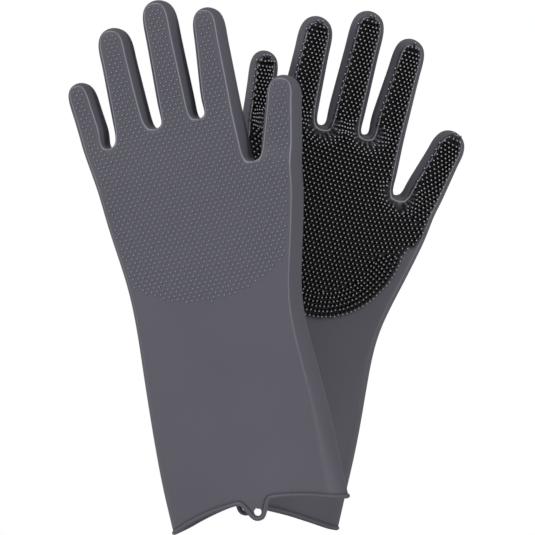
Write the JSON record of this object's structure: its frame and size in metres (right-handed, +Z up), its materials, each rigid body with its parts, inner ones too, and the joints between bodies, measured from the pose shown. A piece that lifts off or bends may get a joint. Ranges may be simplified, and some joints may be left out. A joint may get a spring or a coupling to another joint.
{
  "type": "grooming glove pair",
  "caption": "Left and right silicone grooming gloves with bristled palms, dotted backs, bending fingers and smooth cuffs that end in a beaded hem with a hang tab.",
  "frame": {"origin": "centre of the right glove's cuff opening, where the forearm goes in", "axes": "+Z up from the cuffs towards the fingertips of the held-up gloves, +X to the thumb side of both gloves, -Y towards the viewer: the right glove shows its palm there and the left glove, in front of it, its back"},
  "size_m": [0.2668, 0.1552, 0.3575],
  "materials": {
    "silicone": "satin moulded silicone",
    "bristles": "satin moulded silicone"
  },
  "bodies": {
    "right_hand": {"right_cuff": "silicone", "right_hem_bead": "silicone", "right_hang_tab": "silicone", "right_hand_shell": "silicone", "right_palm_bristles": "bristles"},
    "right_little_root": {"right_little_root_sleeve": "silicone", "right_little_root_bristles": "bristles"},
    "right_little_tip": {"right_little_tip_sleeve": "silicone", "right_little_tip_bristles": "bristles"},
    "right_ring_root": {"right_ring_root_sleeve": "silicone", "right_ring_root_bristles": "bristles"},
    "right_ring_tip": {"right_ring_tip_sleeve": "silicone", "right_ring_tip_bristles": "bristles"},
    "right_middle_root": {"right_middle_root_sleeve": "silicone", "right_middle_root_bristles": "bristles"},
    "right_middle_tip": {"right_middle_tip_sleeve": "silicone", "right_middle_tip_bristles": "bristles"},
    "right_index_root": {"right_index_root_sleeve": "silicone", "right_index_root_bristles": "bristles"},
    "right_index_tip": {"right_index_tip_sleeve": "silicone", "right_index_tip_bristles": "bristles"},
    "right_thumb_root": {"right_thumb_root_sleeve": "silicone", "right_thumb_root_bristles": "bristles"},
    "right_thumb_tip": {"right_thumb_tip_sleeve": "silicone", "right_thumb_tip_bristles": "bristles"},
    "left_hand": {"left_cuff": "silicone", "left_hem_bead": "silicone", "left_hang_tab": "silicone", "left_hand_shell": "silicone", "left_palm_bristles": "bristles"},
    "left_little_root": {"left_little_root_sleeve": "silicone", "left_little_root_bristles": "bristles"},
    "left_little_tip": {"left_little_tip_sleeve": "silicone", "left_little_tip_bristles": "bristles"},
    "left_ring_root": {"left_ring_root_sleeve": "silicone", "left_ring_root_bristles": "bristles"},
    "left_ring_tip": {"left_ring_tip_sleeve": "silicone", "left_ring_tip_bristles": "bristles"},
    "left_middle_root": {"left_middle_root_sleeve": "silicone", "left_middle_root_bristles": "bristles"},
    "left_middle_tip": {"left_middle_tip_sleeve": "silicone", "left_middle_tip_bristles": "bristles"},
    "left_index_root": {"left_index_root_sleeve": "silicone", "left_index_root_bristles": "bristles"},
    "left_index_tip": {"left_index_tip_sleeve": "silicone", "left_index_tip_bristles": "bristles"},
    "left_thumb_root": {"left_thumb_root_sleeve": "silicone", "left_thumb_root_bristles": "bristles"},
    "left_thumb_tip": {"left_thumb_tip_sleeve": "silicone", "left_thumb_tip_bristles": "bristles"}
  },
  "joints": [
    {"name": "right_little_knuckle", "type": "hinge", "parent": "right_hand", "child": "right_little_root", "pos_m": [0.00613, -0.01011, 0.26798], "axis": [0.9786, 0.1655, -0.1219], "range_deg": [0, 50], "stiffness_Nm_per_rad": 0.06},
    {"name": "right_little_mid", "type": "hinge", "parent": "right_little_root", "child": "right_little_tip", "pos_m": [0.0086, -0.01051, 0.28731], "axis": [0.9786, 0.1655, -0.1219], "range_deg": [0, 50], "stiffness_Nm_per_rad": 0.06},
    {"name": "right_ring_knuckle", "type": "hinge", "parent": "right_hand", "child": "right_ring_root", "pos_m": [0.03312, -0.00569, 0.26809], "axis": [0.9627, 0.1667, -0.213], "range_deg": [0, 50], "stiffness_Nm_per_rad": 0.06},
    {"name": "right_ring_mid", "type": "hinge", "parent": "right_ring_root", "child": "right_ring_tip", "pos_m": [0.04006, -0.00585, 0.29933], "axis": [0.9627, 0.1667, -0.213], "range_deg": [0, 50], "stiffness_Nm_per_rad": 0.06},
    {"name": "right_middle_knuckle", "type": "hinge", "parent": "right_hand", "child": "right_middle_root", "pos_m": [0.06365, -0.00041, 0.26137], "axis": [0.9567, 0.1668, -0.2385], "range_deg": [0, 50], "stiffness_Nm_per_rad": 0.06},
    {"name": "right_middle_mid", "type": "hinge", "parent": "right_middle_root", "child": "right_middle_tip", "pos_m": [0.07261, -0.00043, 0.29727], "axis": [0.9567, 0.1668, -0.2385], "range_deg": [0, 50], "stiffness_Nm_per_rad": 0.06},
    {"name": "right_index_knuckle", "type": "hinge", "parent": "right_hand", "child": "right_index_root", "pos_m": [0.09178, 0.0045, 0.25431], "axis": [0.9453, 0.1666, -0.2806], "range_deg": [0, 50], "stiffness_Nm_per_rad": 0.06},
    {"name": "right_index_mid", "type": "hinge", "parent": "right_index_root", "child": "right_index_tip", "pos_m": [0.10085, 0.00471, 0.28499], "axis": [0.9453, 0.1666, -0.2806], "range_deg": [0, 50], "stiffness_Nm_per_rad": 0.06},
    {"name": "right_thumb_knuckle", "type": "hinge", "parent": "right_hand", "child": "right_thumb_root", "pos_m": [0.11523, 0.0102, 0.20959], "axis": [0.8681, 0.1618, -0.4692], "range_deg": [0, 50], "stiffness_Nm_per_rad": 0.06},
    {"name": "right_thumb_mid", "type": "hinge", "parent": "right_thumb_root", "child": "right_thumb_tip", "pos_m": [0.12696, 0.01121, 0.23165], "axis": [0.8681, 0.1618, -0.4692], "range_deg": [0, 50], "stiffness_Nm_per_rad": 0.06},
    {"name": "left_glove_lift", "type": "slide", "parent": "right_hand", "child": "left_hand", "axis": [0, 0, 1], "range_m": [0, 0.4]},
    {"name": "left_little_knuckle", "type": "hinge", "parent": "left_hand", "child": "left_little_root", "pos_m": [-0.09963, -0.0843, 0.2455], "axis": [-0.9184, 0.2569, -0.301], "range_deg": [0, 50], "stiffness_Nm_per_rad": 0.06},
    {"name": "left_little_mid", "type": "hinge", "parent": "left_little_root", "child": "left_little_tip", "pos_m": [-0.10555, -0.08369, 0.26407], "axis": [-0.9184, 0.2569, -0.301], "range_deg": [0, 50], "stiffness_Nm_per_rad": 0.06},
    {"name": "left_ring_knuckle", "type": "hinge", "parent": "left_hand", "child": "left_ring_root", "pos_m": [-0.07576, -0.09117, 0.25696], "axis": [-0.9425, 0.2587, -0.2117], "range_deg": [0, 50], "stiffness_Nm_per_rad": 0.06},
    {"name": "left_ring_mid", "type": "hinge", "parent": "left_ring_root", "child": "left_ring_tip", "pos_m": [-0.0827, -0.09092, 0.28819], "axis": [-0.9425, 0.2587, -0.2117], "range_deg": [0, 50], "stiffness_Nm_per_rad": 0.06},
    {"name": "left_middle_knuckle", "type": "hinge", "parent": "left_hand", "child": "left_middle_root", "pos_m": [-0.04588, -0.09937, 0.2637], "axis": [-0.9478, 0.2588, -0.1861], "range_deg": [0, 50], "stiffness_Nm_per_rad": 0.06},
    {"name": "left_middle_mid", "type": "hinge", "parent": "left_middle_root", "child": "left_middle_tip", "pos_m": [-0.053, -0.09933, 0.30001], "axis": [-0.9478, 0.2588, -0.1861], "range_deg": [0, 50], "stiffness_Nm_per_rad": 0.06},
    {"name": "left_index_knuckle", "type": "hinge", "parent": "left_hand", "child": "left_index_root", "pos_m": [-0.01799, -0.10698, 0.26912], "axis": [-0.9553, 0.2586, -0.1431], "range_deg": [0, 50], "stiffness_Nm_per_rad": 0.06},
    {"name": "left_index_mid", "type": "hinge", "parent": "left_index_root", "child": "left_index_tip", "pos_m": [-0.02282, -0.10731, 0.30076], "axis": [-0.9553, 0.2586, -0.1431], "range_deg": [0, 50], "stiffness_Nm_per_rad": 0.06},
    {"name": "left_thumb_knuckle", "type": "hinge", "parent": "left_hand", "child": "left_thumb_root", "pos_m": [0.02153, -0.11583, 0.23845], "axis": [-0.9661, 0.2511, 0.0603], "range_deg": [0, 50], "stiffness_Nm_per_rad": 0.06},
    {"name": "left_thumb_mid", "type": "hinge", "parent": "left_thumb_root", "child": "left_thumb_tip", "pos_m": [0.02268, -0.11739, 0.26337], "axis": [-0.9661, 0.2511, 0.0603], "range_deg": [0, 50], "stiffness_Nm_per_rad": 0.06}
  ],
  "couplings": [
    {"joint": "right_little_mid", "follows": "right_little_knuckle", "ratio": 1},
    {"joint": "right_ring_mid", "follows": "right_ring_knuckle", "ratio": 1},
    {"joint": "right_middle_mid", "follows": "right_middle_knuckle", "ratio": 1},
    {"joint": "right_index_mid", "follows": "right_index_knuckle", "ratio": 1},
    {"joint": "right_thumb_mid", "follows": "right_thumb_knuckle", "ratio": 1},
    {"joint": "left_little_mid", "follows": "left_little_knuckle", "ratio": 1},
    {"joint": "left_ring_mid", "follows": "left_ring_knuckle", "ratio": 1},
    {"joint": "left_middle_mid", "follows": "left_middle_knuckle", "ratio": 1},
    {"joint": "left_index_mid", "follows": "left_index_knuckle", "ratio": 1},
    {"joint": "left_thumb_mid", "follows": "left_thumb_knuckle", "ratio": 1}
  ]
}
